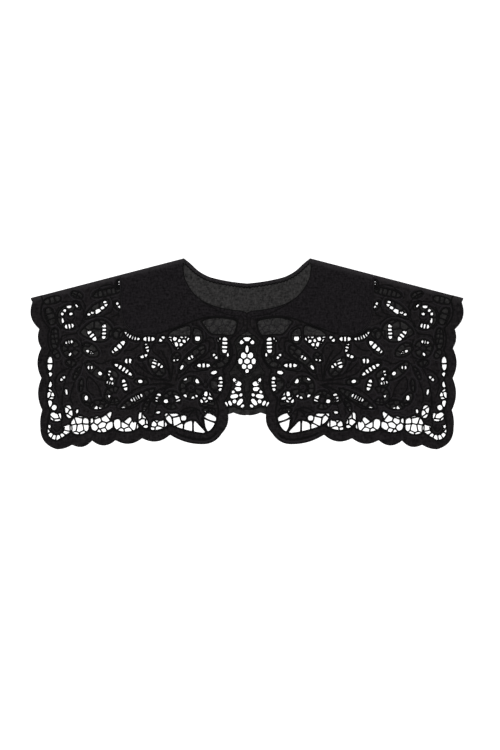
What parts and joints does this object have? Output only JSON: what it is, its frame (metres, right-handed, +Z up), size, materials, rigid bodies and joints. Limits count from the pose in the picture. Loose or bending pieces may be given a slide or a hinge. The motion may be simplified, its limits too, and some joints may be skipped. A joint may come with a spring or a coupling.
{
  "type": "cutwork collar",
  "caption": "Cape-like cutwork lace collar laid flat, fronts folded over the shorter back at the shoulders, with a plain yoke round the neck and a scalloped border.",
  "frame": {"origin": "centre of the outline, on the surface that the collar lies on", "axes": "+X across the shoulders towards the viewer's right of the front view, +Y from the hem towards the neck, +Z up from the surface out of the front"},
  "size_m": [0.562, 0.2482, 0.0036],
  "materials": {
    "yoke_cloth": "matt plain weave",
    "lace_cloth": "matt, corded",
    "border_cloth": "matt, stitched edge",
    "binding_cloth": "matt, overlocked"
  },
  "bodies": {
    "root": {"yoke": "yoke_cloth", "lace": "lace_cloth", "border": "border_cloth", "neck_binding": "binding_cloth"}
  },
  "joints": []
}
